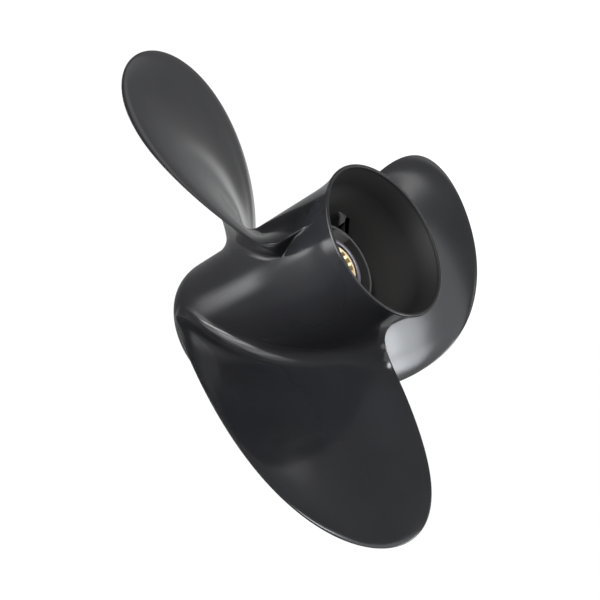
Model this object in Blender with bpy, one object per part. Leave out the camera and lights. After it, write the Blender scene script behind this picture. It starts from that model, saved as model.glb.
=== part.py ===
"""Three-blade outboard-motor propeller with a through-hub exhaust.

One aluminium casting holds the flared barrel, the inner hub, the three webs that join them
and the three right-hand blades. A splined brass sleeve sits in the inner hub, in a rubber
bush with a metal shell. The shaft's axis is Z, +Z points aft, and z = 0 is the barrel's
front face, so the part stands on its front rim. The tip of blade 0 is on +X.
"""

import math

import bmesh
import bpy
from mathutils import Matrix, Vector

MM = 0.001
GAP = 0.3 * MM

# Barrel
TIP_RADIUS = 177.8 * MM
BARREL_LENGTH = 147.1 * MM
BARREL_RADIUS_FRONT = 46.16 * MM
BARREL_RADIUS_AFT = 46.62 * MM
SHOULDER_LENGTH = 14.8 * MM
SHOULDER_DROP = 7.0 * MM
FLARE_START = 118.5 * MM
FLARE_POWER = 2.81
RIM_RADIUS = 50.7 * MM
RIM_WALL = 2.4 * MM
RIM_ROUND_SHARE = 0.3
BARREL_BORE = 42.0 * MM
FRONT_OPENING = 36.6 * MM
FRONT_LIP_DEPTH = 6.0 * MM
FRONT_CHAMFER = 0.8 * MM
INNER_FLARE_START = 108.0 * MM
BARREL_SEGMENTS = 60

# Inner hub
HUB_FRONT = 10.0 * MM
HUB_AFT = 108.5 * MM
HUB_RADIUS_FRONT = 26.8 * MM
HUB_RADIUS_AFT = 28.4 * MM
HUB_BORE = 20.3 * MM
HUB_RECESS_RADIUS = 26.6 * MM
HUB_RECESS_FLOOR = 99.0 * MM
HUB_SEAT_RADIUS = 16.0 * MM
HUB_SEAT_THICKNESS = 3.0 * MM
HUB_FRONT_CHAMFER = 1.5 * MM
HUB_RIM_ROUND = 0.5 * MM
HUB_SEGMENTS = 48

# Webs
WEB_COUNT = 3
WEB_ANGLE = math.radians(43.3)
WEB_THICKNESS = 6.0 * MM
WEB_FRONT = 12.0 * MM
WEB_AFT = 108.0 * MM
WEB_EDGE_ROUND = 1.2 * MM
WEB_SINK = 2.0 * MM

# Blades: x runs along the span, from 0 at the root radius to 1 at the tip
BLADE_COUNT = 3
ROOT_RADIUS = 45.29 * MM
ROOT_CHORD = 137.5 * MM
CHORD_GROWTH = (0.605, -0.1764, 0.5002)
CHORD_CLOSING_POWER = 1.6932
PITCH_TERMS = (285.04 * MM, -83.35 * MM, -16.25 * MM)
SKEW_TERMS = (math.radians(-26.26), math.radians(44.87), math.radians(-34.28), math.radians(15.67))
RAKE_TERMS = (55.10 * MM, 71.69 * MM, -25.09 * MM)
ROOT_THICKNESS = 12.5 * MM
TIP_THICKNESS = 4.2 * MM
EDGE_HALF_THICKNESS = 1.3 * MM
EDGE_TAPER = 14.0 * MM
TIP_ROUND_POWER = 30
ROOT_HOLLOW = 1.3 * MM
MIDDLE_HOLLOW = 3.6 * MM
HOLLOW_RISE = (0.0, 0.25)
HOLLOW_STATION = 0.15
HOLLOW_REACH = 0.85
LEADING_SWELL = 1.0 * MM
LEADING_SWELL_RANGE = (0.15, 0.5)
LEADING_SWELL_STATIONS = (-0.9, -0.3)
TRAILING_GROWTH = 0.8 * MM
TRAILING_GROWTH_RANGE = (0.02, 0.25)

# Root fillets: the pressure side's radius grows from the leading to the trailing edge, and
# there more quickly at the corner, which leans aft
LEADING_FILLET = 8.2 * MM
TRAILING_FILLET = 11.0 * MM
CORNER_FILLET = 26.0 * MM
CORNER_RANGE = (0.55, 1.0)
CORNER_POWER = 4
CORNER_SLANT = 0.5
LEADING_END_FILLET = 3.5 * MM
TRAILING_END_FILLET = 0.8 * MM
SUCTION_FILLET = 5.5 * MM
FILLET_STEPS = (-0.25, 0.08, 0.25, 0.55, 1.0)
FOOT_SHARE = 0.85
BLADE_STATIONS = 13
BLADE_SIDE_STEPS = 14
LAST_STATION_ANGLE = math.radians(88.5)

# Bush and sleeve
SHELL_RADIUS = HUB_BORE - GAP
SHELL_BORE = 17.0 * MM
SHELL_AFT = 107.5 * MM
RUBBER_RADIUS = SHELL_BORE - GAP
RUBBER_AFT = 106.3 * MM
SLEEVE_RADIUS = 15.0 * MM
RUBBER_BORE = SLEEVE_RADIUS + GAP
SLEEVE_FRONT = 8.0 * MM
SLEEVE_AFT = 107.8 * MM
SPLINE_COUNT = 15
SPLINE_ROOT_RADIUS = 12.7 * MM
SPLINE_TIP_RADIUS = 11.2 * MM
END_CHAMFER = 0.6 * MM


def remove_old_objects():
    """Empty the scene."""
    for old in list(bpy.data.objects):
        bpy.data.objects.remove(old, do_unlink=True)


def make_material(name, colour, roughness, metallic):
    """A Principled material of one colour."""
    material = bpy.data.materials.new(name)
    material.use_nodes = True
    shader = material.node_tree.nodes["Principled BSDF"]
    shader.inputs["Base Color"].default_value = (*colour, 1.0)
    shader.inputs["Roughness"].default_value = roughness
    shader.inputs["Metallic"].default_value = metallic
    return material


def object_from(name, shape, material):
    """Write a bmesh to a new object, with its faces pointing outwards."""
    bmesh.ops.recalc_face_normals(shape, faces=shape.faces)
    mesh = bpy.data.meshes.new(name)
    shape.to_mesh(mesh)
    shape.free()
    mesh.materials.append(material)
    mesh.shade_smooth()
    mesh.set_sharp_from_angle(angle=math.radians(35.0))
    made = bpy.data.objects.new(name, mesh)
    bpy.context.scene.collection.objects.link(made)
    return made


def turned(name, outline, segments, material):
    """Spin a closed outline of (radius, height) points round the shaft's axis."""
    shape = bmesh.new()
    points = [shape.verts.new((radius, 0.0, height)) for radius, height in outline]
    edges = [shape.edges.new((a, b)) for a, b in zip(points, points[1:] + points[:1])]
    bmesh.ops.spin(shape, geom=points + edges, cent=(0, 0, 0), axis=(0, 0, 1), angle=math.tau,
                   steps=segments, use_merge=True)
    bmesh.ops.remove_doubles(shape, verts=shape.verts, dist=1e-6)
    return object_from(name, shape, material)


def barrel_radius(height):
    """The barrel's outer radius at a height, with its front shoulder and its aft flare."""
    straight = BARREL_RADIUS_FRONT + (BARREL_RADIUS_AFT - BARREL_RADIUS_FRONT) * height / BARREL_LENGTH
    if height < SHOULDER_LENGTH:
        along = (SHOULDER_LENGTH - max(height, 0.0)) / SHOULDER_LENGTH
        return straight - SHOULDER_DROP * (1.0 - math.sqrt(1.0 - along * along))
    if height > FLARE_START:
        along = (height - FLARE_START) / (BARREL_LENGTH - FLARE_START)
        return straight + (RIM_RADIUS - BARREL_RADIUS_AFT) * along**FLARE_POWER
    return straight


def barrel_bore_radius(height):
    """The barrel's inner radius aft of the webs, where it opens towards the rim."""
    along = max(0.0, (height - INNER_FLARE_START) / (BARREL_LENGTH - INNER_FLARE_START))
    return BARREL_BORE + (RIM_RADIUS - RIM_WALL - BARREL_BORE) * along**2


def barrel_outline():
    """The barrel's wall: outside from front to rim, then inside from rim to front."""
    shoulder_steps = 5
    flare_steps = 6
    rim_round = RIM_ROUND_SHARE * RIM_WALL
    straight_middle = 0.5 * (SHOULDER_LENGTH + FLARE_START)
    rim_foot = BARREL_LENGTH - rim_round
    outline = [(FRONT_OPENING + FRONT_CHAMFER, 0.0), (barrel_radius(0.0), 0.0)]
    for step in range(1, shoulder_steps + 1):
        height = SHOULDER_LENGTH * (1.0 - math.cos(math.pi / 2 * step / shoulder_steps))
        outline.append((barrel_radius(height), height))
    outline.append((barrel_radius(straight_middle), straight_middle))
    for step in range(flare_steps):
        height = FLARE_START + (rim_foot - FLARE_START) * step / (flare_steps - 1)
        outline.append((barrel_radius(height), height))
    outline.append((RIM_RADIUS - rim_round, BARREL_LENGTH))
    outline.append((RIM_RADIUS - RIM_WALL + rim_round, BARREL_LENGTH))
    for step in range(flare_steps):
        height = rim_foot - (rim_foot - INNER_FLARE_START) * step / (flare_steps - 1)
        outline.append((barrel_bore_radius(height), height))
    outline.append((BARREL_BORE, SHOULDER_LENGTH))
    outline.append((FRONT_OPENING, FRONT_LIP_DEPTH))
    outline.append((FRONT_OPENING, FRONT_CHAMFER))
    return outline


def hub_outline():
    """The inner hub's wall, with its front seat and the recess round the bush's aft end."""
    seat_top = HUB_FRONT + HUB_SEAT_THICKNESS
    return [
        (HUB_SEAT_RADIUS, HUB_FRONT),
        (HUB_RADIUS_FRONT - HUB_FRONT_CHAMFER, HUB_FRONT),
        (HUB_RADIUS_FRONT, HUB_FRONT + HUB_FRONT_CHAMFER),
        (HUB_RADIUS_AFT, HUB_AFT - HUB_RIM_ROUND),
        (HUB_RADIUS_AFT - HUB_RIM_ROUND, HUB_AFT),
        (HUB_RECESS_RADIUS + HUB_RIM_ROUND, HUB_AFT),
        (HUB_RECESS_RADIUS, HUB_AFT - HUB_RIM_ROUND),
        (HUB_RECESS_RADIUS, HUB_RECESS_FLOOR),
        (HUB_BORE, HUB_RECESS_FLOOR),
        (HUB_BORE, seat_top),
        (HUB_SEAT_RADIUS, seat_top),
    ]


def tube_outline(bore, radius, bottom, top):
    """A tube's wall with a chamfer at each outer end."""
    return [
        (bore, bottom),
        (radius - END_CHAMFER, bottom),
        (radius, bottom + END_CHAMFER),
        (radius, top - END_CHAMFER),
        (radius - END_CHAMFER, top),
        (bore, top),
    ]


def web_at(angle, material):
    """One flat web between the inner hub and the barrel, its long edges rounded."""
    inner = HUB_RADIUS_FRONT - WEB_SINK
    outer = BARREL_BORE + WEB_SINK
    shape = bmesh.new()
    size = Vector((outer - inner, WEB_THICKNESS, WEB_AFT - WEB_FRONT))
    centre = Vector((0.5 * (inner + outer), 0.0, 0.5 * (WEB_FRONT + WEB_AFT)))
    bmesh.ops.create_cube(shape, size=1.0, matrix=Matrix.Translation(centre) @ Matrix.Diagonal((*size, 1.0)))
    radial = [edge for edge in shape.edges
              if abs((edge.verts[0].co - edge.verts[1].co).x) > 0.5 * size.x]
    bmesh.ops.bevel(shape, geom=radial, offset=WEB_EDGE_ROUND, segments=2, profile=0.5, affect="EDGES",
                    material=-1)
    bmesh.ops.rotate(shape, verts=shape.verts, cent=(0, 0, 0), matrix=Matrix.Rotation(angle, 3, "Z"))
    return object_from("web_body", shape, material)


def polynomial(terms, x):
    """The sum of terms[i] * x**i."""
    return sum(term * x**power for power, term in enumerate(terms))


def eased(x, limits):
    """0 before the limits and 1 after them, with a smooth change between."""
    share = min(max((x - limits[0]) / (limits[1] - limits[0]), 0.0), 1.0)
    return share * share * (3.0 - 2.0 * share)


def fillet_radius(station, is_pressure_side):
    """The root fillet's radius at a station, from -1 at the leading to 1 at the trailing edge."""
    if is_pressure_side:
        middle = LEADING_FILLET + 0.5 * (TRAILING_FILLET - LEADING_FILLET) * (1.0 + station)
        return middle + (CORNER_FILLET - TRAILING_FILLET) * eased(station, CORNER_RANGE)
    end = TRAILING_END_FILLET if station > 0.0 else LEADING_END_FILLET
    return SUCTION_FILLET + (end - SUCTION_FILLET) * station**4


def fillet_spread(height, radius):
    """How far a round fillet stands out from the blade, at a height above the barrel."""
    if height < 0.0:
        return FOOT_SHARE * radius
    above = max(radius - height, 0.0)
    return radius - math.sqrt(radius * radius - above * above)


def rounded(share, power):
    """How far a rounded end has grown, for the share of its length."""
    return (1.0 - (1.0 - min(max(share, 0.0), 1.0))**power)**(1.0 / power)


def blade_section(radius):
    """Points round one blade section on its cylinder, with the root fillet's spread added.

    The section's ends are its leading edge (first point) and its trailing edge. The pressure
    side faces aft and is slightly hollow, and the suction side is crowned.
    """
    x = min(max((radius - ROOT_RADIUS) / (TIP_RADIUS - ROOT_RADIUS), 0.0), 1.0)
    foot = radius - BARREL_RADIUS_FRONT
    closing = math.sqrt(max(0.0, 1.0 - x**CHORD_CLOSING_POWER))
    chord = ROOT_CHORD * (1.0 + sum(g * x**(i + 1) for i, g in enumerate(CHORD_GROWTH))) * closing
    leading_spread = fillet_spread(foot, LEADING_END_FILLET)
    trailing_spread = fillet_spread(foot, TRAILING_END_FILLET)
    leading_end = -0.5 * chord - leading_spread
    trailing_end = 0.5 * chord + TRAILING_GROWTH * (1.0 - eased(x, TRAILING_GROWTH_RANGE)) + trailing_spread
    pitch_angle = math.atan2(polynomial(PITCH_TERMS, x), math.tau * radius)
    middle_angle = polynomial(SKEW_TERMS, x)
    middle_height = polynomial(RAKE_TERMS, x)
    thinning = math.sqrt(1.0 - x**TIP_ROUND_POWER)
    thickness = (ROOT_THICKNESS + (TIP_THICKNESS - ROOT_THICKNESS) * x) * thinning
    edge = EDGE_HALF_THICKNESS * thinning
    hollow_depth = (ROOT_HOLLOW + (MIDDLE_HOLLOW - ROOT_HOLLOW) * eased(x, HOLLOW_RISE)) * (1.0 - x * x)
    swell_depth = LEADING_SWELL * (1.0 - eased(x, LEADING_SWELL_RANGE))
    stations = [-math.cos(math.pi * step / BLADE_SIDE_STEPS) for step in range(BLADE_SIDE_STEPS + 1)]

    def place(station, is_pressure_side):
        along = 0.5 * (leading_end + trailing_end) + 0.5 * (trailing_end - leading_end) * station
        from_leading = along - leading_end
        from_trailing = trailing_end - along
        taper = rounded(min(from_leading, from_trailing) / EDGE_TAPER, 2)
        fillet = fillet_radius(station, is_pressure_side)
        spread = fillet_spread(foot, fillet)
        spread *= rounded(from_leading / (EDGE_HALF_THICKNESS + leading_spread), 2)
        end_share = from_trailing / (EDGE_HALF_THICKNESS + trailing_spread)
        if is_pressure_side:
            spread *= rounded(end_share, CORNER_POWER)
            hollow = max(0.0, 1.0 - ((station - HOLLOW_STATION) / HOLLOW_REACH)**2)**2
            swell = 1.0 - eased(station, LEADING_SWELL_STATIONS)
            lift = (edge + swell_depth * swell) * taper + spread - hollow_depth * hollow
            along += CORNER_SLANT * spread * spread / fillet * eased(station, CORNER_RANGE)
        else:
            spread *= rounded(end_share, 2)
            lift = -(edge + (thickness - 2.0 * edge) * (1.0 - station * station)) * taper - spread
        angle = middle_angle + (along * math.cos(pitch_angle) - lift * math.sin(pitch_angle)) / radius
        height = middle_height + along * math.sin(pitch_angle) + lift * math.cos(pitch_angle)
        reach = radius + root_blend(radius) * (barrel_radius(height) - BARREL_RADIUS_FRONT)
        return Vector((reach * math.cos(angle), reach * math.sin(angle), height))

    pressure = [place(station, True) for station in stations]
    suction = [place(station, False) for station in stations[1:-1]]
    return pressure + suction[::-1]


def root_blend(radius):
    """1 where a section follows the barrel's own shape, falling to 0 two fillets further out."""
    out = (radius - BARREL_RADIUS_FRONT - TRAILING_FILLET) / (2.0 * TRAILING_FILLET)
    return 1.0 - min(max(out, 0.0), 1.0)


def section_radii():
    """Radius of each section, from inside the barrel's wall to the tip."""
    radii = [BARREL_RADIUS_FRONT + share * TRAILING_FILLET for share in FILLET_STEPS]
    span = TIP_RADIUS - ROOT_RADIUS
    first = math.asin((radii[-1] - ROOT_RADIUS) / span)
    for step in range(1, BLADE_STATIONS + 1):
        angle = first + (LAST_STATION_ANGLE - first) * step / BLADE_STATIONS
        radii.append(ROOT_RADIUS + span * math.sin(angle))
    return radii


def close_section(shape, ring):
    """Close a section's end with a strip of quads between its two sides."""
    far = BLADE_SIDE_STEPS
    count = len(ring)
    shape.faces.new((ring[0], ring[1], ring[count - 1]))
    for step in range(1, far - 1):
        shape.faces.new((ring[step], ring[step + 1], ring[count - step - 1], ring[count - step]))
    shape.faces.new((ring[far - 1], ring[far], ring[far + 1]))


def blade_at(index, material):
    """One blade, lofted through its sections and turned to its place round the barrel."""
    shape = bmesh.new()
    rings = [[shape.verts.new(point) for point in blade_section(radius)] for radius in section_radii()]
    for near, far in zip(rings, rings[1:]):
        for step in range(len(near)):
            following = (step + 1) % len(near)
            shape.faces.new((near[step], near[following], far[following], far[step]))
    close_section(shape, rings[0])
    close_section(shape, rings[-1])
    turn = Matrix.Rotation(math.tau * index / BLADE_COUNT, 3, "Z")
    bmesh.ops.rotate(shape, verts=shape.verts, cent=(0, 0, 0), matrix=turn)
    return object_from("blade_body", shape, material)


def join_to(target, bodies):
    """Unite the bodies with the target, and keep them as hidden guides."""
    for body in bodies:
        body.hide_render = True
        body.display_type = "WIRE"
        union = target.modifiers.new(body.name, "BOOLEAN")
        union.operation = "UNION"
        union.solver = "EXACT"
        union.object = body


def make_casting():
    """The casting: barrel, inner hub, webs and blades as one solid."""
    paint = make_material("black_paint", (0.02, 0.02, 0.023), 0.25, 0.0)
    casting = turned("propeller_casting", barrel_outline(), BARREL_SEGMENTS, paint)
    webs = [web_at(WEB_ANGLE + math.tau * index / WEB_COUNT, paint) for index in range(WEB_COUNT)]
    hub = turned("inner_hub_body", hub_outline(), HUB_SEGMENTS, paint)
    blades = [blade_at(index, paint) for index in range(BLADE_COUNT)]
    join_to(casting, webs + [hub] + blades)


def make_bush():
    """The bush's metal shell and the rubber inside it."""
    steel = make_material("bush_steel", (0.45, 0.43, 0.46), 0.35, 1.0)
    rubber = make_material("bush_rubber", (0.03, 0.022, 0.018), 0.7, 0.0)
    seat = HUB_FRONT + HUB_SEAT_THICKNESS + GAP
    turned("bush_shell", tube_outline(SHELL_BORE, SHELL_RADIUS, seat, SHELL_AFT), HUB_SEGMENTS, steel)
    turned("rubber_bush", tube_outline(RUBBER_BORE, RUBBER_RADIUS, seat, RUBBER_AFT), HUB_SEGMENTS, rubber)


def make_sleeve():
    """The brass sleeve: a round outside and a toothed bore."""
    brass = make_material("sleeve_brass", (0.75, 0.6, 0.32), 0.3, 1.0)
    tooth_corners = (
        (0.06, SPLINE_ROOT_RADIUS),
        (0.44, SPLINE_ROOT_RADIUS),
        (0.58, SPLINE_TIP_RADIUS),
        (0.92, SPLINE_TIP_RADIUS),
    )
    shape = bmesh.new()
    loops = []
    for height in (SLEEVE_FRONT, SLEEVE_AFT):
        inner = []
        outer = []
        for tooth in range(SPLINE_COUNT):
            for share, radius in tooth_corners:
                angle = math.tau * (tooth + share) / SPLINE_COUNT
                direction = Vector((math.cos(angle), math.sin(angle), 0.0))
                inner.append(shape.verts.new(direction * radius + Vector((0, 0, height))))
                outer.append(shape.verts.new(direction * SLEEVE_RADIUS + Vector((0, 0, height))))
        loops.append((inner, outer))
    (inner_front, outer_front), (inner_aft, outer_aft) = loops
    for first, second in ((inner_front, outer_front), (outer_front, outer_aft),
                          (outer_aft, inner_aft), (inner_aft, inner_front)):
        for step in range(len(first)):
            following = (step + 1) % len(first)
            shape.faces.new((first[step], first[following], second[following], second[step]))
    object_from("splined_sleeve", shape, brass)


remove_old_objects()
make_casting()
make_bush()
make_sleeve()
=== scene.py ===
"""Looks of a three-blade outboard-motor propeller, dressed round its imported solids.

The propeller stands on the front rim of its barrel, its shaft axis upright. The casting is
shown as a turned barrel, a turned inner hub, three cast webs and three blades whose root
fillets run out smoothly on the barrel. The bush and its splined sleeve sit in the hub.
"""

import logging
import math
from dataclasses import dataclass, field
from enum import Enum
from typing import Any, Callable, Sequence, Union

import bmesh
import bpy
from mathutils import Matrix, Vector

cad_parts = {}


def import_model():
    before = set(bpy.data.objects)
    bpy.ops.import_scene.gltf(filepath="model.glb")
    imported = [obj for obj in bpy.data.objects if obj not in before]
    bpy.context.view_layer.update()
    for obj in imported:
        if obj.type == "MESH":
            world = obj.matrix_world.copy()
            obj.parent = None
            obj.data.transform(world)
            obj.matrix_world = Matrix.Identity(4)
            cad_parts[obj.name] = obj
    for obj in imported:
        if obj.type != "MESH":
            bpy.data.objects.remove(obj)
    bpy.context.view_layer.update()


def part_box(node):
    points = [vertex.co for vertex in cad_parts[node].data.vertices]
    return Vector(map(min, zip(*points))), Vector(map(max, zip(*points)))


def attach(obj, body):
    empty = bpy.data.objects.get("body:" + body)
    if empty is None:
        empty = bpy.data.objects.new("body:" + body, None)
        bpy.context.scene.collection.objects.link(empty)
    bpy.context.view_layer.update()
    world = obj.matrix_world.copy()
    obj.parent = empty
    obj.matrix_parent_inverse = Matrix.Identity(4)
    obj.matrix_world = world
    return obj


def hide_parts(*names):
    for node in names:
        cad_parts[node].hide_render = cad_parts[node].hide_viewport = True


LOG = logging.getLogger("propeller")
MM = 0.001
ROOT_BODY = "root"
WELD_DISTANCE = 1e-7
LEVEL_MARGIN = 1e-6


class Slot(str, Enum):
    """The record's material slots."""

    PAINT = "black_paint"
    STEEL = "bush_steel"
    RUBBER = "bush_rubber"
    BRASS = "sleeve_brass"


class Node(str, Enum):
    """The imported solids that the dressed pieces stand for."""

    CASTING = "propeller_casting"
    SHELL = "bush_shell"
    RUBBER = "rubber_bush"
    SLEEVE = "splined_sleeve"


Number = Union[int, float]


class Signal:
    """A shader socket that plain arithmetic can be written on."""

    def __init__(self, board: "Board", socket: bpy.types.NodeSocket) -> None:
        """Wrap one output socket of a node on the board."""
        self.board = board
        self.socket = socket

    def _joined(self, operation: str, first: "Feed", second: "Feed") -> "Signal":
        """Add one Math node and hand back its result."""
        return self.board.add("ShaderNodeMath", {"operation": operation}, {0: first, 1: second})

    def __add__(self, other: "Feed") -> "Signal":
        """Sum of two signals."""
        return self._joined("ADD", self, other)

    def __radd__(self, other: "Feed") -> "Signal":
        """Sum, with the number first."""
        return self._joined("ADD", other, self)

    def __sub__(self, other: "Feed") -> "Signal":
        """Difference of two signals."""
        return self._joined("SUBTRACT", self, other)

    def __rsub__(self, other: "Feed") -> "Signal":
        """Difference, with the number first."""
        return self._joined("SUBTRACT", other, self)

    def __mul__(self, other: "Feed") -> "Signal":
        """Product of two signals."""
        return self._joined("MULTIPLY", self, other)

    def __rmul__(self, other: "Feed") -> "Signal":
        """Product, with the number first."""
        return self._joined("MULTIPLY", other, self)

    def __truediv__(self, other: "Feed") -> "Signal":
        """Quotient of two signals."""
        return self._joined("DIVIDE", self, other)

    def __pow__(self, other: "Feed") -> "Signal":
        """Power of a signal."""
        return self._joined("POWER", self, other)


Feed = Union[Signal, Number, Sequence[Number], str]


class Board:
    """The node tree of one material."""

    def __init__(self, name: str) -> None:
        """Start a material with only its output node.

        Args:
            name: The material's name.
        """
        self.material = bpy.data.materials.new(name)
        self.material.use_nodes = True
        self.tree = self.material.node_tree
        self.tree.nodes.clear()
        self.sink = self.tree.nodes.new("ShaderNodeOutputMaterial")

    def add(self, kind: str, settings: dict[str, Any], feeds: dict[Any, Feed], output: Any = 0) -> Signal:
        """Add any node.

        Args:
            kind: The node's type.
            settings: Its own settings, such as a Math node's operation, which are set first.
            feeds: A value or a signal for each input socket, by name or number.
            output: The output socket that is handed back, by name or number.

        Returns:
            The chosen output as a signal.
        """
        node = self.tree.nodes.new(kind)
        for name, value in settings.items():
            setattr(node, name, value)
        for key, feed in feeds.items():
            if isinstance(feed, Signal):
                self.tree.links.new(feed.socket, node.inputs[key])
            else:
                node.inputs[key].default_value = feed
        return Signal(self, node.outputs[output])

    def place(self) -> Signal:
        """The point's place on the piece, in metres."""
        return self.add("ShaderNodeTexCoord", {}, {}, "Object")

    def noise(self, size: float, detail: float = 2.0, roughness: float = 0.5) -> Signal:
        """Soft noise round 0.5, whose blotches are of the given size in metres."""
        feeds = {"Vector": self.place(), "Scale": 1.0 / size, "Detail": detail, "Roughness": roughness}
        return self.add("ShaderNodeTexNoise", {}, feeds, "Fac")

    def between(self, low: Number, high: Number, value: Signal, new_low: Number = 0.0,
                new_high: Number = 1.0) -> Signal:
        """The signal's range from low to high, mapped to the new range and clamped."""
        feeds = {"Value": value, "From Min": low, "From Max": high, "To Min": new_low, "To Max": new_high}
        return self.add("ShaderNodeMapRange", {"clamp": True}, feeds)

    def blend(self, share: Signal, first: Feed, second: Feed) -> Signal:
        """Mix two colours, from the first at a share of 0 to the second at 1."""
        return self.add("ShaderNodeMix", {"data_type": "RGBA"}, {0: share, 6: first, 7: second}, 2)

    def reach(self, direction: str) -> Signal:
        """The point's place along X, Y or Z, in metres."""
        return self.add("ShaderNodeSeparateXYZ", {}, {0: self.place()}, direction)

    def from_axis(self) -> Signal:
        """The point's distance from the shaft's axis, in metres."""
        return (self.reach("X") * self.reach("X") + self.reach("Y") * self.reach("Y")) ** 0.5

    def turned_place(self, azimuth: float) -> tuple[Signal, Signal]:
        """The point's places across and along a direction, in metres.

        Args:
            azimuth: Where the direction points, as an angle from +X.

        Returns:
            The place across it and the place along it.
        """
        x, y = self.reach("X"), self.reach("Y")
        cosine, sine = math.cos(azimuth), math.sin(azimuth)
        return y * cosine - x * sine, x * cosine + y * sine

    def size_of(self, value: Signal) -> Signal:
        """The signal without its sign."""
        return self.add("ShaderNodeMath", {"operation": "ABSOLUTE"}, {0: value})

    def bump(self, height: Signal, depth: float, below: Signal | None = None) -> Signal:
        """Turn a height into a normal.

        Args:
            height: The height, from 0 to 1.
            depth: The real depth of that range, in metres.
            below: A coarser normal under this one.

        Returns:
            The bent normal.
        """
        feeds: dict[Any, Feed] = {"Height": height, "Strength": 1.0, "Distance": depth}
        if below is not None:
            feeds["Normal"] = below
        return self.add("ShaderNodeBump", {}, feeds, "Normal")

    def surface(self, feeds: dict[Any, Feed]) -> bpy.types.Material:
        """Finish the board with a Principled surface.

        Args:
            feeds: A value or a signal for each of the shader's sockets.

        Returns:
            The finished material.
        """
        shader = self.add("ShaderNodeBsdfPrincipled", {}, feeds)
        self.tree.links.new(shader.socket, self.sink.inputs["Surface"])
        return self.material


@dataclass(frozen=True)
class BlackEnamel:
    """Stoved black enamel over cast aluminium, with a fine orange-peel skin.

    Inside the barrel the enamel is partly a thin, dull coat and partly painted light: its tone is
    painted lightest deep inside, where shade falls, and gets blacker towards the mouth. The inside
    is told from the outside by its distance from the shaft's axis, which grows over the mouth's heights.
    """

    tone: tuple[float, float, float] = (0.0066, 0.0067, 0.0077)
    worn_tone: tuple[float, float, float] = (0.0086, 0.0087, 0.0099)
    # Inside the barrel: a duller coat, painted lighter deep in as painted light where shade falls, darker
    # towards the mouth.
    inside_coat_and_painted_light_tone: tuple[float, float, float] = (0.062, 0.060, 0.059)
    mouth_tone: tuple[float, float, float] = (0.0075, 0.0073, 0.0078)
    inside_gloss: float = 0.55
    inside_reach: float = 44.2 * MM
    mouth_growth: float = 5.3 * MM
    mouth_heights: tuple[float, float] = (108.0 * MM, 147.1 * MM)
    fade_heights: tuple[float, float] = (100.0 * MM, 132.0 * MM)
    wall_blur: float = 0.4 * MM
    cloud_size: float = 45.0 * MM
    cloud_range: tuple[float, float] = (0.35, 0.7)
    gloss: float = 0.17
    gloss_spread: float = 0.05
    mirror_level: float = 0.2
    peel_size: float = 1.6 * MM
    peel_depth: float = 0.004 * MM
    ripple_size: float = 14.0 * MM
    ripple_depth: float = 0.02 * MM

    def material(self) -> bpy.types.Material:
        """Build the enamel's material.

        Returns:
            The material.
        """
        board = Board("black_enamel")
        cloud = board.noise(self.cloud_size, 3.0)
        ripple = board.bump(board.noise(self.ripple_size, 1.0), self.ripple_depth)
        peel = board.bump(board.noise(self.peel_size, 2.0), self.peel_depth, ripple)
        wear = board.between(*self.cloud_range, cloud)
        enamel = board.blend(wear, (*self.tone, 1.0), (*self.worn_tone, 1.0))
        growth = board.between(*self.mouth_heights, board.reach("Z")) ** 2.0
        wall = self.inside_reach + self.mouth_growth * growth
        inside = board.between(-self.wall_blur, self.wall_blur, wall - board.from_axis())
        near_mouth = board.between(*self.fade_heights, board.reach("Z"))
        # Painted light: deep inside the barrel the tone is lighter, standing in for light where shade
        # falls; towards the mouth it darkens.
        cast = board.blend(near_mouth, (*self.inside_coat_and_painted_light_tone, 1.0), (*self.mouth_tone, 1.0))
        gloss = board.between(0.0, 1.0, inside, self.gloss, self.inside_gloss)
        return board.surface({
            "Base Color": board.blend(inside, enamel, cast),
            "Roughness": gloss + self.gloss_spread * (cloud - 0.5),
            "Specular IOR Level": self.mirror_level,
            "Normal": peel,
        })


@dataclass(frozen=True)
class TurnedBrass:
    """Brass turned on a lathe, with fine rings and a little tarnish."""

    tone: tuple[float, float, float] = (0.90, 0.77, 0.50)
    tarnish: tuple[float, float, float] = (0.58, 0.43, 0.22)
    gloss: float = 0.52
    stain_gloss: float = 0.2
    stain_size: float = 5.0 * MM
    stain_range: tuple[float, float] = (0.45, 0.75)
    ring_pitch: float = 0.22 * MM
    ring_depth: float = 0.006 * MM

    def material(self) -> bpy.types.Material:
        """Build the brass's material.

        Returns:
            The material.
        """
        board = Board("turned_brass")
        stain = board.between(*self.stain_range, board.noise(self.stain_size, 4.0, 0.6))
        rings = board.bump(turning_rings(board, self.ring_pitch), self.ring_depth)
        return board.surface({
            "Base Color": board.blend(stain, (*self.tone, 1.0), (*self.tarnish, 1.0)),
            "Metallic": 1.0,
            "Roughness": self.gloss + self.stain_gloss * stain,
            "Normal": rings,
        })


@dataclass(frozen=True)
class PlatedSteel:
    """The bush's plated steel shell, satin and slightly violet."""

    tone: tuple[float, float, float] = (0.22, 0.21, 0.235)
    dull_tone: tuple[float, float, float] = (0.13, 0.12, 0.13)
    gloss: float = 0.42
    dull_gloss: float = 0.15
    dull_size: float = 3.0 * MM
    dull_range: tuple[float, float] = (0.4, 0.75)
    ring_pitch: float = 0.3 * MM
    ring_depth: float = 0.005 * MM

    def material(self) -> bpy.types.Material:
        """Build the plated steel's material.

        Returns:
            The material.
        """
        board = Board("plated_steel")
        dull = board.between(*self.dull_range, board.noise(self.dull_size, 4.0, 0.6))
        rings = board.bump(turning_rings(board, self.ring_pitch), self.ring_depth)
        return board.surface({
            "Base Color": board.blend(dull, (*self.tone, 1.0), (*self.dull_tone, 1.0)),
            "Metallic": 1.0,
            "Roughness": self.gloss + self.dull_gloss * dull,
            "Normal": rings,
        })


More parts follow.
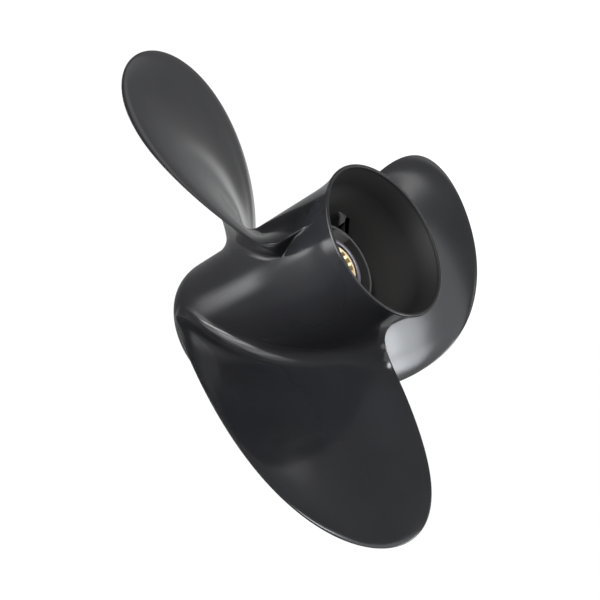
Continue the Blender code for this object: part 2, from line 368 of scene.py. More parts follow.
@dataclass(frozen=True)
class BushRubber:
    """Dark moulded rubber with a dusty bloom."""

    tone: tuple[float, float, float] = (0.020, 0.015, 0.012)
    bloom: tuple[float, float, float] = (0.060, 0.048, 0.040)
    gloss: float = 0.62
    dust_gloss: float = 0.15
    dust_size: float = 1.6 * MM
    dust_range: tuple[float, float] = (0.45, 0.7)
    skin_size: float = 0.5 * MM
    skin_depth: float = 0.03 * MM

    def material(self) -> bpy.types.Material:
        """Build the rubber's material.

        Returns:
            The material.
        """
        board = Board("bush_rubber")
        dust = board.between(*self.dust_range, board.noise(self.dust_size, 3.0))
        skin = board.bump(board.noise(self.skin_size, 3.0), self.skin_depth)
        return board.surface({
            "Base Color": board.blend(dust, (*self.tone, 1.0), (*self.bloom, 1.0)),
            "Roughness": self.gloss + self.dust_gloss * dust,
            "Normal": skin,
        })


@dataclass(frozen=True)
class PaleFloor:
    """The studio's plain white floor, as the camera sees it."""

    tone: float = 0.1
    glow: float = 1.0

    def material(self) -> bpy.types.Material:
        """Build the floor's material."""
        board = Board("pale_floor")
        return board.surface({
            "Base Color": (self.tone, self.tone, self.tone, 1.0),
            "Roughness": 0.9,
            "Specular IOR Level": 0.0,
            "Emission Color": (1.0, 1.0, 1.0, 1.0),
            "Emission Strength": self.glow,
        })


@dataclass(frozen=True)
class PaintedLightPool:
    """One painted pool of light: a glowing patch of the floor, between two distances on one side of the
    object.

    It fades towards both sides by the share of its distance that it reaches across, and it
    starts and ends with a fade along its azimuth, which is in degrees.
    """

    azimuth: float
    sides: tuple[float, float]
    start: tuple[float, float]
    end: tuple[float, float]
    near_value: float
    far_value: float

    def light(self, board: Board) -> Signal:
        """Work out the patch's light.

        Args:
            board: The node board.

        Returns:
            Its brightness at each point of the floor.
        """
        across, along = board.turned_place(math.radians(self.azimuth))
        side = board.between(*self.sides, board.size_of(across) / along, 1.0, 0.0)
        value = board.between(self.start[1], self.end[0], along, self.near_value, self.far_value)
        begun = board.between(*self.start, along)
        return side * value * begun * board.between(*self.end, along, 1.0, 0.0)


@dataclass(frozen=True)
class FloorGlowAndPaintedPools:
    """The glow of the hidden floor sheet that lights the object: a dim even glow, and painted pools of
    light.
    """

    tone: float = 0.1
    glow: float = 0.21
    # Painted pools of light: each glows on the hidden sheet and shows in the object's reflections.
    pools: tuple[PaintedLightPool, ...] = (
        PaintedLightPool(265.0, (0.08, 0.29), (0.068, 0.082), (0.143, 0.152), 3.2, 9.0),
        PaintedLightPool(258.0, (0.10, 0.22), (0.188, 0.200), (0.260, 0.320), 13.0, 10.0),
        PaintedLightPool(269.0, (0.36, 0.50), (0.225, 0.290), (0.800, 1.200), 34.0, 26.0),
        PaintedLightPool(122.0, (0.12, 0.34), (0.120, 0.200), (1.000, 1.700), 2.0, 0.7),
    )

    def material(self) -> bpy.types.Material:
        """Build the glowing sheet's material, with its painted pools of light.

        Returns:
            The material.
        """
        board = Board("floor_glow_and_painted_pools")
        light = self.glow + self.pools[0].light(board)
        for pool in self.pools[1:]:
            light = light + pool.light(board)
        return board.surface({
            "Base Color": (self.tone, self.tone, self.tone, 1.0),
            "Roughness": 0.9,
            "Specular IOR Level": 0.0,
            "Emission Color": light,
            "Emission Strength": 1.0,
        })


def turning_rings(board: Board, pitch: float) -> Signal:
    """Fine lathe rings about the shaft's axis.

    Args:
        board: The node board.
        pitch: The distance between rings, in metres.

    Returns:
        A height from 0 to 1.
    """
    feeds = {"Vector": board.place(), "Scale": 1.0 / (pitch * math.tau), "Distortion": 0.3, "Detail": 1.0}
    settings = {"wave_type": "RINGS", "rings_direction": "Z"}
    return board.add("ShaderNodeTexWave", settings, feeds, "Fac")


def finished(name: str, shape: bmesh.types.BMesh, material: bpy.types.Material,
             nodes: Sequence[Node]) -> bpy.types.Object:
    """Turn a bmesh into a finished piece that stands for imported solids.

    Args:
        name: The piece's name.
        shape: The closed shape, which is freed.
        material: Its finish.
        nodes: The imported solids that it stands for.

    Returns:
        The new object, riding on the root body.
    """
    bmesh.ops.remove_doubles(shape, verts=shape.verts, dist=WELD_DISTANCE)
    bmesh.ops.recalc_face_normals(shape, faces=shape.faces)
    for face in shape.faces:
        face.smooth = True
    mesh = bpy.data.meshes.new(name)
    shape.to_mesh(mesh)
    shape.free()
    mesh.materials.append(material)
    piece = bpy.data.objects.new(name, mesh)
    bpy.context.scene.collection.objects.link(piece)
    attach(piece, ROOT_BODY)
    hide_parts(*[node.value for node in nodes])
    LOG.info("%s: %d faces", name, len(mesh.polygons))
    return piece


def arc(centre: tuple[float, float], radii: tuple[float, float], start: float, end: float,
        steps: int) -> list[tuple[float, float]]:
    """Points along an elliptic arc of a turned outline.

    Args:
        centre: The arc's centre, as (radius, height).
        radii: Its reach along the radius and along the height.
        start: Its first angle in degrees, from the outward radius towards aft.
        end: Its last angle in degrees.
        steps: The number of steps.

    Returns:
        The points, both ends included.
    """
    turns = [math.radians(start + (end - start) * step / steps) for step in range(steps + 1)]
    return [(centre[0] + radii[0] * math.cos(turn), centre[1] + radii[1] * math.sin(turn))
            for turn in turns]


def turned(outline: Sequence[tuple[float, float]], segments: int) -> bmesh.types.BMesh:
    """Spin a closed outline round the shaft's axis.

    Args:
        outline: Its (radius, height) points in order.
        segments: The number of steps in a full turn.

    Returns:
        The closed ring.
    """
    shape = bmesh.new()
    points = [shape.verts.new((radius, 0.0, height)) for radius, height in outline]
    edges = [shape.edges.new(pair) for pair in zip(points, points[1:] + points[:1])]
    bmesh.ops.spin(shape, geom=points + edges, cent=(0, 0, 0), axis=(0, 0, 1), angle=math.tau,
                   steps=segments, use_merge=True)
    return shape


def polynomial(terms: Sequence[float], x: float) -> float:
    """Sum of ``terms[i] * x**i``.

    Args:
        terms: The coefficients, lowest power first.
        x: Where to read it.

    Returns:
        The sum.
    """
    return sum(term * x**power for power, term in enumerate(terms))


def eased(x: float, limits: tuple[float, float]) -> float:
    """A smooth change from 0 to 1.

    Args:
        x: Where to read it.
        limits: Where the change starts and ends.

    Returns:
        The share that is reached.
    """
    share = min(max((x - limits[0]) / (limits[1] - limits[0]), 0.0), 1.0)
    return share * share * (3.0 - 2.0 * share)


@dataclass
class Barrel:
    """The casting's outer barrel: a rounded front shoulder, a straight run and an aft flare."""

    length: float
    radius_front: float = 46.16 * MM
    radius_aft: float = 46.62 * MM
    shoulder_length: float = 14.8 * MM
    shoulder_drop: float = 7.0 * MM
    flare_start: float = 118.5 * MM
    flare_power: float = 2.81
    rim_radius: float = 50.7 * MM
    rim_wall: float = 2.4 * MM
    bore: float = 42.0 * MM
    bore_middle: float = 60.0 * MM
    bore_flare_start: float = 108.0 * MM
    bore_shoulder: float = 6.0 * MM
    front_opening: float = 36.6 * MM
    front_lip_depth: float = 6.0 * MM
    front_lip_round: float = 0.8 * MM
    segments: int = 288
    shoulder_steps: int = 28
    straight_steps: int = 30
    flare_steps: int = 32
    rim_steps: int = 16

    def radius_at(self, height: float) -> float:
        """Outer radius at a height.

        Args:
            height: Height above the front face.

        Returns:
            The radius there.
        """
        straight = self.radius_front + (self.radius_aft - self.radius_front) * height / self.length
        if height < self.shoulder_length:
            along = (self.shoulder_length - max(height, 0.0)) / self.shoulder_length
            return straight - self.shoulder_drop * (1.0 - math.sqrt(1.0 - along * along))
        if height > self.flare_start:
            along = (height - self.flare_start) / (self.length - self.flare_start)
            return straight + (self.rim_radius - self.radius_aft) * along**self.flare_power
        return straight

    def bore_at(self, height: float) -> float:
        """Inner radius at a height aft of the webs."""
        along = max(0.0, (height - self.bore_flare_start) / (self.length - self.bore_flare_start))
        return self.bore + (self.rim_radius - self.rim_wall - self.bore) * along**2

    def outline(self) -> list[tuple[float, float]]:
        """The wall's closed outline, outside first.

        Returns:
            Its (radius, height) points.
        """
        round_over = 0.5 * self.rim_wall
        foot = self.length - round_over
        lip = self.front_lip_round
        points = arc((self.front_opening + lip, lip), (lip, lip), 180.0, 270.0, 6)
        for step in range(self.shoulder_steps + 1):
            turn = 0.5 * math.pi * step / self.shoulder_steps
            height = self.shoulder_length * (1.0 - math.cos(turn))
            points.append((self.radius_at(height), height))
        straight = self.flare_start - self.shoulder_length
        for step in range(1, self.straight_steps):
            height = self.shoulder_length + straight * step / self.straight_steps
            points.append((self.radius_at(height), height))
        for step in range(self.flare_steps + 1):
            height = self.flare_start + (foot - self.flare_start) * step / self.flare_steps
            points.append((self.radius_at(height), height))
        edge = self.radius_at(foot)
        rim = arc((edge - round_over, foot), (round_over, round_over), 0.0, 180.0, self.rim_steps)
        points += rim[1:-1]
        for step in range(self.flare_steps + 1):
            height = foot - (foot - self.bore_flare_start) * step / self.flare_steps
            points.append((self.bore_at(height), height))
        points.append((self.bore, self.bore_middle))
        shoulder = self.bore_shoulder
        points += arc((self.bore - shoulder, self.shoulder_length), (shoulder, shoulder), 0.0, -50.0, 10)
        points.append((self.front_opening, self.front_lip_depth))
        return points

    def build(self, paint: bpy.types.Material) -> bpy.types.Object:
        """Build the barrel in its finish."""
        shape = turned(self.outline(), self.segments)
        return finished("barrel", shape, paint, [Node.CASTING])


@dataclass
class InnerHub:
    """The hub that holds the bush, with a front seat and a recess at its aft end."""

    front: float = 10.0 * MM
    aft: float = 108.5 * MM
    radius_front: float = 26.8 * MM
    radius_aft: float = 28.4 * MM
    bore: float = 20.3 * MM
    recess_radius: float = 26.6 * MM
    recess_floor: float = 99.0 * MM
    seat_radius: float = 16.0 * MM
    seat_thickness: float = 3.0 * MM
    seat_round: float = 0.8 * MM
    nose: float = 2.0 * MM
    recess_fillet: float = 2.0 * MM
    bore_round: float = 0.5 * MM
    segments: int = 192

    def outline(self) -> list[tuple[float, float]]:
        """The hub's closed outline, outside first.

        Returns:
            Its (radius, height) points.
        """
        seat, nose, fillet, edge = self.seat_round, self.nose, self.recess_fillet, self.bore_round
        rim = 0.5 * (self.radius_aft - self.recess_radius)
        seat_top = self.front + self.seat_thickness
        floor = self.recess_floor
        points = arc((self.seat_radius + seat, self.front + seat), (seat, seat), 180.0, 270.0, 5)
        points += arc((self.radius_front - nose, self.front + nose), (nose, nose), 270.0, 360.0, 8)
        points.append((0.5 * (self.radius_front + self.radius_aft), 0.5 * (self.front + self.aft)))
        points += arc((self.radius_aft - rim, self.aft - rim), (rim, rim), 0.0, 180.0, 14)
        points += arc((self.recess_radius - fillet, floor + fillet), (fillet, fillet), 0.0, -90.0, 8)
        points += arc((self.bore + edge, floor - edge), (edge, edge), 90.0, 180.0, 4)
        points.append((self.bore, seat_top))
        points.append((self.seat_radius, seat_top))
        return points

    def build(self, paint: bpy.types.Material) -> bpy.types.Object:
        """Build the inner hub in its finish."""
        shape = turned(self.outline(), self.segments)
        return finished("inner_hub", shape, paint, [Node.CASTING])


@dataclass
class Webs:
    """The three cast webs that carry the inner hub in the barrel."""

    barrel: Barrel
    hub: InnerHub
    count: int = 3
    first_angle: float = math.radians(43.3)
    thickness: float = 6.0 * MM
    front: float = 12.0 * MM
    aft: float = 108.0 * MM
    fillet: float = 3.5 * MM
    edge_round: float = 1.6 * MM
    edge_segments: int = 5
    sink: float = 1.0 * MM
    steps: int = 40

    def half_width(self, reach: float) -> float:
        """Half the web's thickness at a radius, with a fillet at each wall.

        Args:
            reach: Distance from the shaft's axis.

        Returns:
            Half the thickness there.
        """
        to_wall = min(reach - self.hub.radius_aft, self.barrel.bore - reach)
        inside = min(max(to_wall, 0.0), self.fillet)
        spread = self.fillet - math.sqrt(self.fillet**2 - (self.fillet - inside)**2)
        return 0.5 * self.thickness + spread

    def build(self, index: int, paint: bpy.types.Material) -> bpy.types.Object:
        """Build one web.

        Args:
            index: Which web, from 0.
            paint: Its finish.

        Returns:
            The web.
        """
        inner = self.hub.radius_front - self.sink
        outer = self.barrel.bore + self.sink
        reaches = [inner + (outer - inner) * step / self.steps for step in range(self.steps + 1)]
        near = [(reach, self.half_width(reach), self.front) for reach in reaches]
        far = [(reach, -self.half_width(reach), self.front) for reach in reversed(reaches)]
        shape = bmesh.new()
        profile = shape.faces.new([shape.verts.new(point) for point in near + far])
        grown = bmesh.ops.extrude_face_region(shape, geom=[profile])["geom"]
        lifted = [item for item in grown if isinstance(item, bmesh.types.BMVert)]
        bmesh.ops.translate(shape, verts=lifted, vec=(0, 0, self.aft - self.front))
        ends = [edge for edge in shape.edges
                if abs(edge.verts[0].co.z - edge.verts[1].co.z) < LEVEL_MARGIN
                and abs(edge.verts[0].co.y - edge.verts[1].co.y) < self.thickness]
        bmesh.ops.bevel(shape, geom=ends, offset=self.edge_round, segments=self.edge_segments, profile=0.5,
                        affect="EDGES", material=-1)
        angle = self.first_angle + math.tau * index / self.count
        bmesh.ops.rotate(shape, verts=shape.verts, cent=(0, 0, 0), matrix=Matrix.Rotation(angle, 3, "Z"))
        return finished(f"web_{index}", shape, paint, [Node.CASTING])


def rounded(share: float, power: float = 2.0) -> float:
    """How far a rounded end has grown.

    Args:
        share: The share of its length, from its end.
        power: 2 for an ellipse, more for a squarer corner.

    Returns:
        The share of its full thickness.
    """
    return (1.0 - (1.0 - min(max(share, 0.0), 1.0))**power)**(1.0 / power)


@dataclass(frozen=True)
class RootFillet:
    """The round fillet between a blade and the barrel.

    On the pressure side its radius grows from the leading to the trailing edge, and there more
    quickly at the corner, which leans aft. On the suction side it is smaller.
    """

    leading: float = 8.2 * MM
    trailing: float = 11.0 * MM
    corner: float = 26.0 * MM
    corner_range: tuple[float, float] = (0.55, 1.0)
    corner_power: float = 4.0
    corner_slant: float = 0.5
    leading_end: float = 3.5 * MM
    trailing_end: float = 0.8 * MM
    suction: float = 5.5 * MM
    skirt: float = 1.2 * MM
    skirt_slope: float = 100.0

    def radius_at(self, station: float, is_pressure_side: bool) -> float:
        """The fillet's radius.

        Args:
            station: From -1 at the leading edge to 1 at the trailing edge.
            is_pressure_side: Which side of the blade.

        Returns:
            The radius there.
        """
        if is_pressure_side:
            middle = self.leading + 0.5 * (self.trailing - self.leading) * (1.0 + station)
            return middle + (self.corner - self.trailing) * eased(station, self.corner_range)
        end = self.trailing_end if station > 0.0 else self.leading_end
        return self.suction + (end - self.suction) * station**4

    def spread(self, height: float, radius: float) -> float:
        """How far the fillet stands out from the blade.

        Args:
            height: Height above the barrel.
            radius: The fillet's radius.

        Returns:
            The reach out of the blade's side, with a flat skirt just under the barrel's surface.
        """
        above = min(max(radius - height, 0.0), radius)
        skirt = min(self.skirt_slope * max(-height, 0.0), self.skirt)
        return radius - math.sqrt(radius * radius - above * above) + skirt


@dataclass(frozen=True)
class Section:
    """A blade's section on one cylinder round the shaft's axis, laid out along its chord."""

    radius: float
    foot: float
    pitch: float
    middle_angle: float
    middle_height: float
    thickness: float
    edge: float
    hollow_depth: float
    swell_depth: float
    leading_end: float
    trailing_end: float
    fillet: RootFillet
    edge_taper: float = 14.0 * MM
    edge_cap: float = 1.3 * MM
    hollow_station: float = 0.15
    hollow_reach: float = 0.85
    swell_stations: tuple[float, float] = (-0.9, -0.3)

    def point(self, around: float, plumpness: float = 1.0) -> tuple[float, float]:
        """One point of the section.

        Args:
            around: From 0 at the leading edge, over the pressure side to 1 at the trailing
                edge, and back over the suction side to 2.
            plumpness: 1 for the full section, 0 for its chord line.

        Returns:
            The angle round the shaft's axis and the height.
        """
        fillet = self.fillet
        station = -math.cos(math.pi * around)
        is_pressure_side = around <= 1.0
        along = self.leading_end + 0.5 * (self.trailing_end - self.leading_end) * (1.0 + station)
        from_leading = along - self.leading_end
        from_trailing = self.trailing_end - along
        taper = rounded(min(from_leading, from_trailing) / self.edge_taper)
        radius = fillet.radius_at(station, is_pressure_side)
        spread = plumpness * fillet.spread(self.foot, radius)
        spread *= rounded(from_leading / (self.edge_cap + fillet.spread(self.foot, fillet.leading_end)))
        end_share = from_trailing / (self.edge_cap + fillet.spread(self.foot, fillet.trailing_end))
        if is_pressure_side:
            spread *= rounded(end_share, fillet.corner_power)
            hollow = max(0.0, 1.0 - ((station - self.hollow_station) / self.hollow_reach)**2)**2
            swell = 1.0 - eased(station, self.swell_stations)
            half = self.edge + self.swell_depth * swell
            lift = plumpness * (half * taper - self.hollow_depth * hollow) + spread
            along += fillet.corner_slant * spread * spread / radius * eased(station, fillet.corner_range)
        else:
            spread *= rounded(end_share)
            half = self.edge + (self.thickness - 2.0 * self.edge) * (1.0 - station * station)
            lift = -plumpness * half * taper - spread
        turned_by = (along * math.cos(self.pitch) - lift * math.sin(self.pitch)) / self.radius
        height = self.middle_height + along * math.sin(self.pitch) + lift * math.cos(self.pitch)
        return self.middle_angle + turned_by, height


@dataclass
class Blade:
    """A wide right-hand blade, lofted round the barrel with a fillet at its root.

    Along the span, x runs from 0 at the root radius to 1 at the tip. Each section lies on its
    own cylinder round the shaft's axis, its leading edge forward and its trailing edge aft. The
    pressure side faces aft and is slightly hollow, and the suction side is crowned.
    """

    barrel: Barrel
    fillet: RootFillet = RootFillet()
    count: int = 3
    tip_radius: float = 177.8 * MM
    root_radius: float = 45.29 * MM
    root_chord: float = 137.5 * MM
    chord_growth: tuple[float, ...] = (0.605, -0.1764, 0.5002)
    chord_closing_power: float = 1.6932
    trailing_growth: float = 0.8 * MM
    trailing_growth_range: tuple[float, float] = (0.02, 0.25)
    pitch_terms: tuple[float, ...] = (285.04 * MM, -83.35 * MM, -16.25 * MM)
    skew_degrees: tuple[float, ...] = (-26.26, 44.87, -34.28, 15.67)
    rake_terms: tuple[float, ...] = (55.10 * MM, 71.69 * MM, -25.09 * MM)
    root_thickness: float = 12.5 * MM
    tip_thickness: float = 4.2 * MM
    edge_half_thickness: float = 1.3 * MM
    root_hollow: float = 1.3 * MM
    middle_hollow: float = 3.6 * MM
    hollow_rise: tuple[float, float] = (0.0, 0.25)
    leading_swell: float = 1.0 * MM
    leading_swell_range: tuple[float, float] = (0.15, 0.5)
    tip_round_power: int = 30
    foot_sink: float = 0.003 * MM
    wall_sink: float = 1.6 * MM
    side_steps: int = 72
    fillet_steps: int = 30
    span_steps: int = 96

    def rows(self) -> list[tuple[float, float]]:
        """The rings of the blade, from inside the barrel's wall to the tip.

        Returns:
            Each ring's radius, and its plumpness, which is 0 for the two that close the ends.
        """
        base = self.barrel.radius_front
        inside = base - self.wall_sink
        rows = [(inside, 0.0), (inside, 1.0), (base - 4.0 * self.foot_sink, 1.0)]
        for step in range(self.fillet_steps + 1):
            turn = 0.5 * math.pi * step / self.fillet_steps
            rows.append((base + self.fillet.corner * (1.0 - math.cos(turn)) - self.foot_sink, 1.0))
        span = self.tip_radius - self.root_radius
        first = math.asin((rows[-1][0] - self.root_radius) / span)
        for step in range(1, self.span_steps):
            turn = first + (0.5 * math.pi - first) * step / self.span_steps
            rows.append((self.root_radius + span * math.sin(turn), 1.0))
        rows.append((self.tip_radius, 0.0))
        return rows

    def section(self, radius: float) -> Section:
        """The blade's section at a radius.

        Args:
            radius: Distance from the shaft's axis.

        Returns:
            The section there.
        """
        x = min(max((radius - self.root_radius) / (self.tip_radius - self.root_radius), 0.0), 1.0)
        foot = radius - self.barrel.radius_front
        closing = math.sqrt(max(0.0, 1.0 - x**self.chord_closing_power))
        growth = 1.0 + sum(term * x**(power + 1) for power, term in enumerate(self.chord_growth))
        half_chord = 0.5 * self.root_chord * growth * closing
        reach = self.trailing_growth * (1.0 - eased(x, self.trailing_growth_range))
        thinning = math.sqrt(max(0.0, 1.0 - x**self.tip_round_power))
        hollow = self.root_hollow + (self.middle_hollow - self.root_hollow) * eased(x, self.hollow_rise)
        return Section(
            radius=radius,
            foot=foot,
            pitch=math.atan2(polynomial(self.pitch_terms, x), math.tau * radius),
            middle_angle=math.radians(polynomial(self.skew_degrees, x)),
            middle_height=polynomial(self.rake_terms, x),
            thickness=(self.root_thickness + (self.tip_thickness - self.root_thickness) * x) * thinning,
            edge=self.edge_half_thickness * thinning,
            hollow_depth=hollow * (1.0 - x * x),
            swell_depth=self.leading_swell * (1.0 - eased(x, self.leading_swell_range)),
            leading_end=-half_chord - self.fillet.spread(foot, self.fillet.leading_end),
            trailing_end=half_chord + reach + self.fillet.spread(foot, self.fillet.trailing_end),
            fillet=self.fillet,
        )

    def follows_barrel(self, radius: float) -> float:
        """How far a ring follows the barrel's shape: 1 at the root, 0 two fillets beyond the fillet."""
        start = self.barrel.radius_front + self.fillet.trailing
        return 1.0 - eased(radius, (start, start + 2.0 * self.fillet.trailing))

    def build(self, index: int, paint: bpy.types.Material) -> bpy.types.Object:
        """Build one blade from a grid that is wrapped round its sections.

        Args:
            index: Which blade, from 0.
            paint: Its finish.

        Returns:
            The blade.
        """
        rows = [(self.section(radius), self.follows_barrel(radius), plumpness)
                for radius, plumpness in self.rows()]
        last = len(rows) - 1
        shape = bmesh.new()
        bmesh.ops.create_grid(shape, x_segments=2 * self.side_steps, y_segments=last, size=1.0)
        for vert in shape.verts:
            section, share, plumpness = rows[round(0.5 * (vert.co.y + 1.0) * last)]
            angle, height = section.point(vert.co.x + 1.0, plumpness)
            reach = section.radius + share * (self.barrel.radius_at(height) - self.barrel.radius_front)
            vert.co = Vector((reach * math.cos(angle), reach * math.sin(angle), height))
        turn = Matrix.Rotation(math.tau * index / self.count, 3, "Z")
        bmesh.ops.rotate(shape, verts=shape.verts, cent=(0, 0, 0), matrix=turn)
        return finished(f"blade_{index}", shape, paint, [Node.CASTING])


@dataclass
class Bush:
    """The bonded bush: a steel shell with a bead of rubber inside it."""

    shell_low: Vector
    shell_high: Vector
    shell_bore: float = 17.0 * MM
    rubber_bore: float = 15.3 * MM
    gap: float = 0.3 * MM
    rubber_drop: float = 1.2 * MM
    lip: float = 0.9 * MM
    segments: int = 144

    def build_shell(self, steel: bpy.types.Material) -> bpy.types.Object:
        """Build the shell.

        Args:
            steel: Its finish.

        Returns:
            The shell.
        """
        lip = self.lip
        inner, outer = self.shell_bore + lip, self.shell_high.x - lip
        low, high = self.shell_low.z + lip, self.shell_high.z - lip
        points = arc((inner, low), (lip, lip), 180.0, 270.0, 6)
        points += arc((outer, low), (lip, lip), 270.0, 360.0, 6)
        points += arc((outer, high), (lip, lip), 0.0, 90.0, 8)
        points += arc((inner, high), (lip, lip), 90.0, 180.0, 8)
        return finished("bush_shell_ring", turned(points, self.segments), steel, [Node.SHELL])

    def build_rubber(self, rubber: bpy.types.Material) -> bpy.types.Object:
        """Build the rubber between the shell and the sleeve.

        Args:
            rubber: Its finish.

        Returns:
            The rubber.
        """
        outer = self.shell_bore - self.gap
        half = 0.5 * (outer - self.rubber_bore)
        top = self.shell_high.z - self.rubber_drop
        points = [(self.rubber_bore, self.shell_low.z), (outer, self.shell_low.z)]
        points += arc((self.rubber_bore + half, top - half), (half, half), 0.0, 180.0, 12)
        return finished("rubber_bead", turned(points, self.segments), rubber, [Node.RUBBER])


@dataclass
class Sleeve:
    """The brass sleeve, with a toothed bore that is chamfered at both ends."""

    low: Vector
    high: Vector
    teeth: int = 15
    root_radius: float = 12.7 * MM
    tip_radius: float = 11.2 * MM
    squareness: float = 3.0
    chamfer: float = 0.7 * MM
    mouth_share: float = 0.2
    mouth_depth_share: float = 2.0
    steps_per_tooth: int = 16
    sharp_angle: float = math.radians(30.0)

    def bore_at(self, turn: float) -> float:
        """The bore's radius round the axis, as rounded teeth.

        Args:
            turn: The angle in tooth pitches.

        Returns:
            The radius there.
        """
        wave = math.sin(math.tau * turn)
        flank = math.tanh(self.squareness * wave) / math.tanh(self.squareness)
        middle = 0.5 * (self.root_radius + self.tip_radius)
        return middle + 0.5 * (self.root_radius - self.tip_radius) * flank

    def build(self, brass: bpy.types.Material) -> bpy.types.Object:
        """Build the sleeve as rings of points, bridged from one to the next.

        Args:
            brass: Its finish.

        Returns:
            The sleeve.
        """
        radius = self.high.x
        count = self.teeth * self.steps_per_tooth
        low, high, cut = self.low.z, self.high.z, self.chamfer
        mouth, depth = self.root_radius + self.mouth_share * cut, self.mouth_depth_share * cut
        levels: list[tuple[Callable[[float], float], float]] = [
            (lambda turn: radius - cut, low),
            (lambda turn: radius, low + cut),
            (lambda turn: radius, high - cut),
            (lambda turn: radius - cut, high),
            (lambda turn: mouth, high),
            (self.bore_at, high - depth),
            (self.bore_at, low + depth),
            (lambda turn: mouth, low),
        ]
        shape = bmesh.new()
        rings = []
        for reach, height in levels:
            made = bmesh.ops.create_circle(shape, cap_ends=False, segments=count, radius=1.0)["verts"]
            for vert in made:
                turn = math.atan2(vert.co.y, vert.co.x) / math.tau * self.teeth
                vert.co = Vector((vert.co.x, vert.co.y, 0.0)) * reach(turn) + Vector((0.0, 0.0, height))
            rings.append({edge for vert in made for edge in vert.link_edges})
        for first, second in zip(rings, rings[1:] + rings[:1]):
            bmesh.ops.bridge_loops(shape, edges=list(first | second))
        piece = finished("splined_sleeve_bore", shape, brass, [Node.SLEEVE])
        piece.data.set_sharp_from_angle(angle=self.sharp_angle)
        return piece


COOL = (0.96, 0.99, 1.03)


@dataclass(frozen=True)
class SoftBox:
    """One soft studio light, placed by azimuth and elevation in degrees and a distance in metres."""

    name: str
    azimuth: float
    elevation: float
    distance: float
    width: float
    height: float
    brightness: float
    tint: tuple[float, float, float] = (1.0, 1.0, 1.0)
    aim: tuple[float, float, float] = (0.0, 0.0, 0.08)

    def hang(self) -> bpy.types.Object:
        """Hang the light on its side of the aim and point it there.

        Returns:
            The light.
        """
        lamp = bpy.data.lights.new(self.name, "AREA")
        lamp.shape = "RECTANGLE"
        lamp.size = self.width
        lamp.size_y = self.height
        lamp.color = self.tint
        lamp.energy = self.brightness * math.pi * self.width * self.height
        light = bpy.data.objects.new(self.name, lamp)
        turn, rise = math.radians(self.azimuth), math.radians(self.elevation)
        side = Vector((math.cos(turn) * math.cos(rise), math.sin(turn) * math.cos(rise), math.sin(rise)))
        light.location = Vector(self.aim) + self.distance * side
        light.rotation_mode = "QUATERNION"
        light.rotation_quaternion = (-side).to_track_quat("-Z", "Y")
        bpy.context.scene.collection.objects.link(light)
        return light


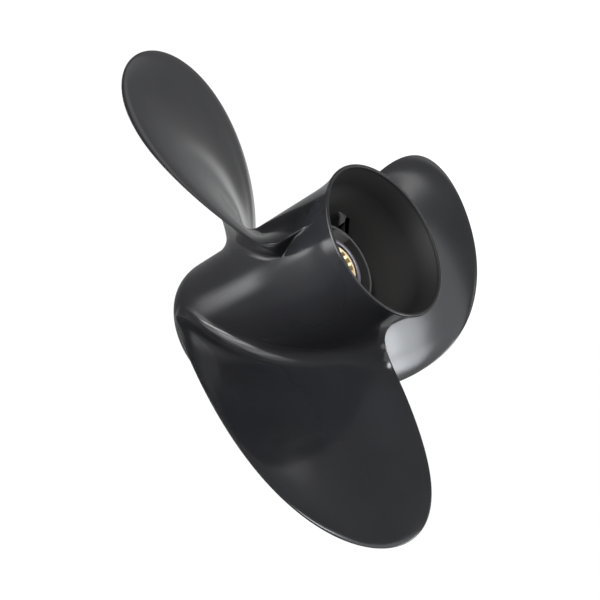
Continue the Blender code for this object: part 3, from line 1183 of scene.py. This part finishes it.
@dataclass
class Studio:
    """A plain white floor under plain soft light.

    The camera sees the floor's white sheet. The object is lit by a second sheet at the same
    height, which the camera doesn't see: it glows dimly all over and brightly in painted pools of light.
    """

    floor_radius: float = 8.0
    glow_and_painted_pools_radius: float = 1.8
    sheet_segments: int = 96
    ambient: float = 0.50
    lights: Sequence[SoftBox] = field(default_factory=lambda: (
        SoftBox("key_box", 272.0, 21.0, 2.0, 1.5, 1.3, 5.7),
        SoftBox("key_low_box", 275.0, 8.5, 2.0, 1.4, 0.56, 9.0),
        SoftBox("key_far_box", 240.0, 15.0, 2.0, 0.9, 0.9, 6.0),
        SoftBox("key_upper_box", 262.0, 41.0, 2.0, 1.5, 0.5, 3.0),
        SoftBox("top_box", 42.0, 83.5, 2.0, 0.42, 0.42, 40.0, COOL),
        SoftBox("top_side_box", 82.0, 75.5, 2.0, 0.32, 0.32, 22.0, COOL),
        SoftBox("top_veil", 58.0, 62.0, 2.1, 1.9, 1.2, 3.3, COOL),
        SoftBox("back_strip", 70.0, 35.0, 2.2, 0.8, 0.5, 20.0),
        SoftBox("back_side_box", 40.0, 25.0, 2.2, 1.0, 0.6, 4.5),
        SoftBox("back_small_box", 99.0, 33.5, 2.2, 0.30, 0.20, 5.0),
        SoftBox("fill_box", 135.0, 25.0, 2.2, 1.3, 0.55, 1.0),
    ))

    def lay(self, name: str, radius: float, finish: bpy.types.Material) -> bpy.types.Object:
        """Lay one round sheet on the ground.

        Args:
            name: The sheet's name.
            radius: Its radius, in metres.
            finish: Its material.

        Returns:
            The sheet.
        """
        shape = bmesh.new()
        bmesh.ops.create_circle(shape, cap_ends=True, segments=self.sheet_segments, radius=radius)
        mesh = bpy.data.meshes.new(name)
        shape.to_mesh(mesh)
        shape.free()
        mesh.materials.append(finish)
        sheet = bpy.data.objects.new(name, mesh)
        bpy.context.scene.collection.objects.link(sheet)
        return sheet

    def build(self) -> None:
        """Lay the floor, set the ambient light and hang the lights."""
        floor = self.lay("studio_floor", self.floor_radius, PaleFloor().material())
        floor.visible_glossy = False
        floor.visible_diffuse = False
        floor.visible_shadow = False
        # The hidden sheet glows, dimly all over and in painted pools of light, and lights the object.
        glow_and_painted_pools = self.lay("studio_floor_glow_and_painted_pools", self.glow_and_painted_pools_radius, FloorGlowAndPaintedPools().material())
        glow_and_painted_pools.visible_camera = False
        world = bpy.data.worlds.new("studio_air")
        world.use_nodes = True
        background = world.node_tree.nodes["Background"]
        background.inputs["Color"].default_value = (1.0, 1.0, 1.0, 1.0)
        background.inputs["Strength"].default_value = self.ambient
        bpy.context.scene.world = world
        for light in self.lights:
            light.hang()
        bpy.context.scene.view_settings.view_transform = "Standard"


@dataclass(frozen=True)
class PhotoCamera:
    """A camera at the photograph's viewing angle."""

    place: tuple[float, float, float] = (0.43467, -0.64189, 0.64706)
    forward: tuple[float, float, float] = (-0.44425, 0.66732, -0.59776)
    upward: tuple[float, float, float] = (-0.88746, -0.23640, 0.39564)
    lens: float = 92.70
    sensor: float = 36.0
    nearest: float = 0.01

    def build(self) -> bpy.types.Object:
        """Build the camera.

        Returns:
            The scene's camera.
        """
        lens = bpy.data.cameras.new("photo_camera")
        lens.lens = self.lens
        lens.sensor_width = self.sensor
        lens.clip_start = self.nearest
        camera = bpy.data.objects.new("photo_camera", lens)
        back = -Vector(self.forward).normalized()
        side = Vector(self.upward).cross(back).normalized()
        top = back.cross(side)
        turn = Matrix((side, top, back)).transposed().to_4x4()
        camera.matrix_world = Matrix.Translation(self.place) @ turn
        bpy.context.scene.collection.objects.link(camera)
        bpy.context.scene.camera = camera
        return camera


def main() -> None:
    """Dress the propeller and set up the studio."""
    logging.basicConfig(level=logging.INFO, format="%(message)s")
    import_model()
    PhotoCamera().build()
    Studio().build()

    paint = BlackEnamel().material()
    barrel = Barrel(length=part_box(Node.CASTING.value)[1].z)
    barrel.build(paint)
    hub = InnerHub()
    hub.build(paint)
    webs = Webs(barrel, hub)
    for index in range(webs.count):
        webs.build(index, paint)
    blade = Blade(barrel)
    for index in range(blade.count):
        blade.build(index, paint)

    bush = Bush(*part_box(Node.SHELL.value))
    bush.build_shell(PlatedSteel().material())
    bush.build_rubber(BushRubber().material())
    Sleeve(*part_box(Node.SLEEVE.value)).build(TurnedBrass().material())


if __name__ == "__main__":
    main()
